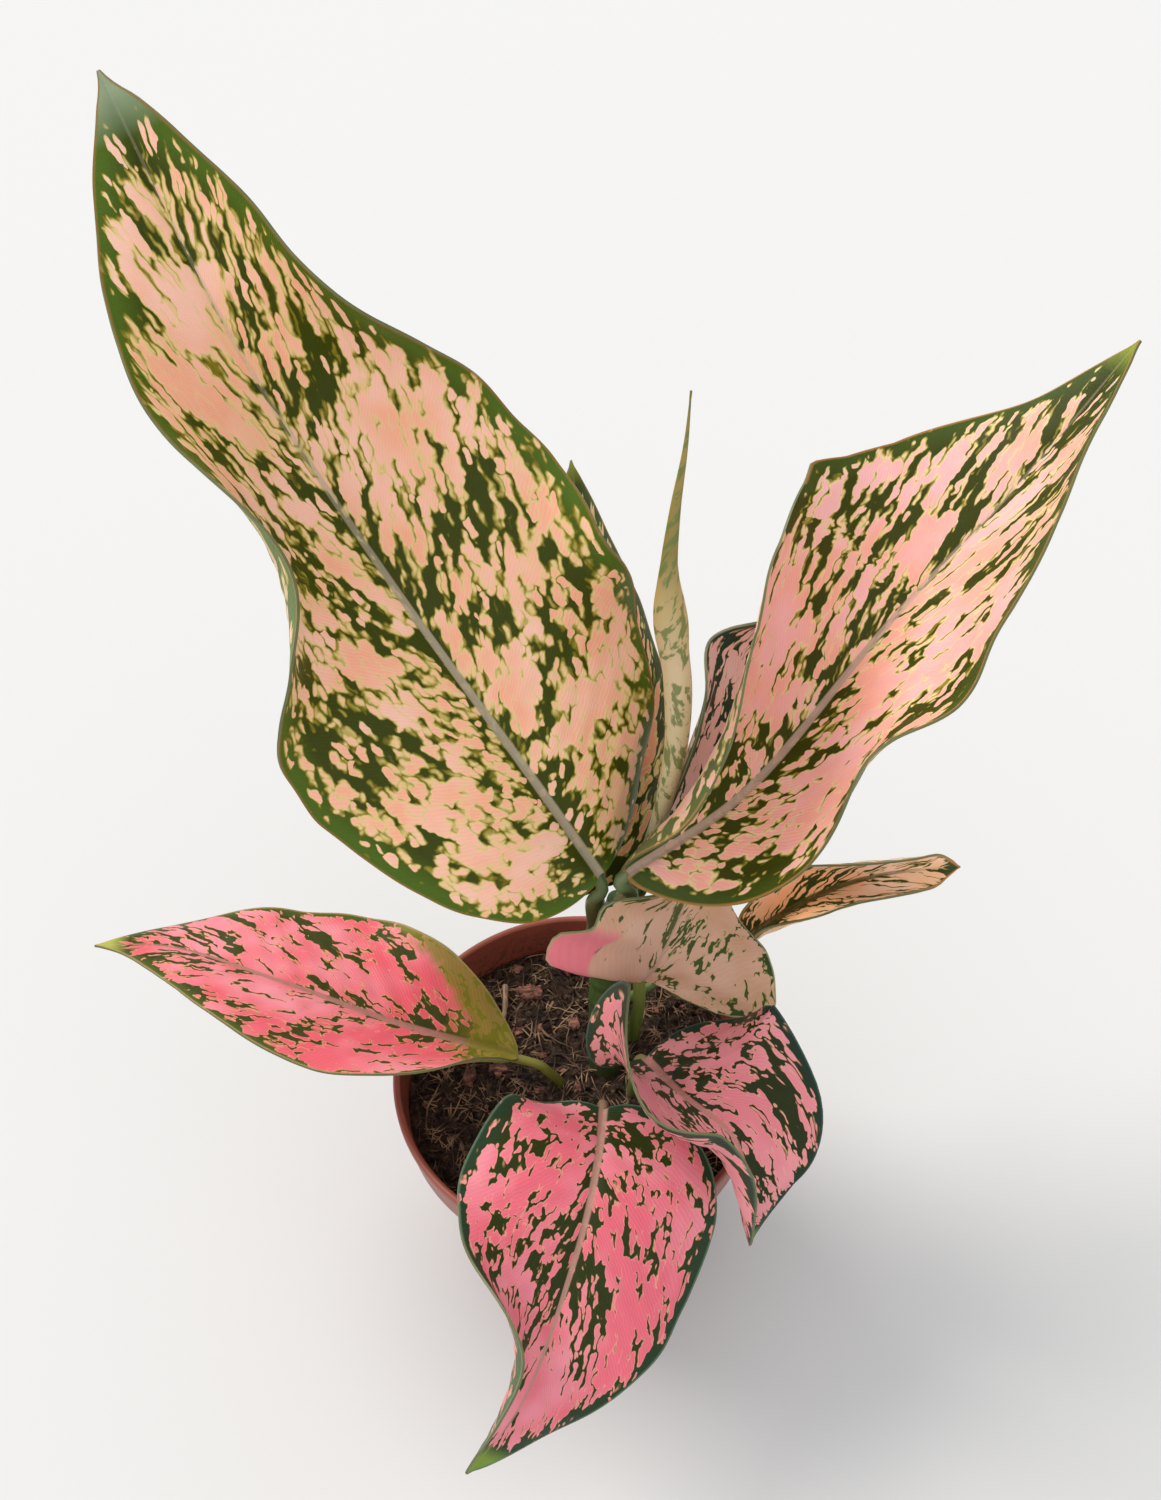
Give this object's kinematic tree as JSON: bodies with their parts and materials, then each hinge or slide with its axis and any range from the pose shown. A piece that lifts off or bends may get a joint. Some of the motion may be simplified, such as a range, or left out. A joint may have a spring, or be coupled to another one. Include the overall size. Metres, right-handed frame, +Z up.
{
  "type": "potted aglaonema",
  "caption": "Small nursery pot filled with potting mix, with a pink and green broad-leaved plant whose waved, spotted leaves rise and arch outwards on short stalks",
  "frame": {"origin": "Centre of the flat underside of the pot.", "axes": "+Z points up out of the pot along its axis. -Y points to the front, where the picture was taken from. +X points to the right of the picture."},
  "size_m": [0.2219, 0.155, 0.2954],
  "materials": {
    "terracotta_plastic": "thin moulded nursery pot plastic, slightly satin",
    "potting_mix": "dark moist peat and coir fibre, rough and matte",
    "stem_green": "smooth green plant stem, satin",
    "leaf_peach": "satin leaf, peach blotches with cream halos on dark green, pale grey-green underneath",
    "leaf_pink": "satin leaf, hot pink blotches on dark bluish green, paler underneath",
    "leaf_new": "rolled new leaf, pale cream green, satin",
    "bark": "rough pinkish brown bark"
  },
  "bodies": {
    "root": {"pot": "terracotta_plastic", "soil": "potting_mix", "stem": "stem_green", "leaf_upper_left": "leaf_peach", "leaf_upper_right": "leaf_peach", "leaf_spear": "leaf_new", "leaf_back_left": "leaf_peach", "leaf_back_right": "leaf_peach", "leaf_right": "leaf_peach", "leaf_mid_right": "leaf_peach", "leaf_low_right": "leaf_pink", "leaf_front": "leaf_pink", "leaf_left": "leaf_pink", "bark_chip_1": "bark", "bark_chip_2": "bark", "bark_chip_3": "bark", "bark_chip_4": "bark", "bark_chip_5": "bark", "bark_chip_6": "bark", "bark_chip_7": "bark", "bark_chip_8": "bark", "bark_chip_9": "bark", "twig": "bark"}
  },
  "joints": []
}
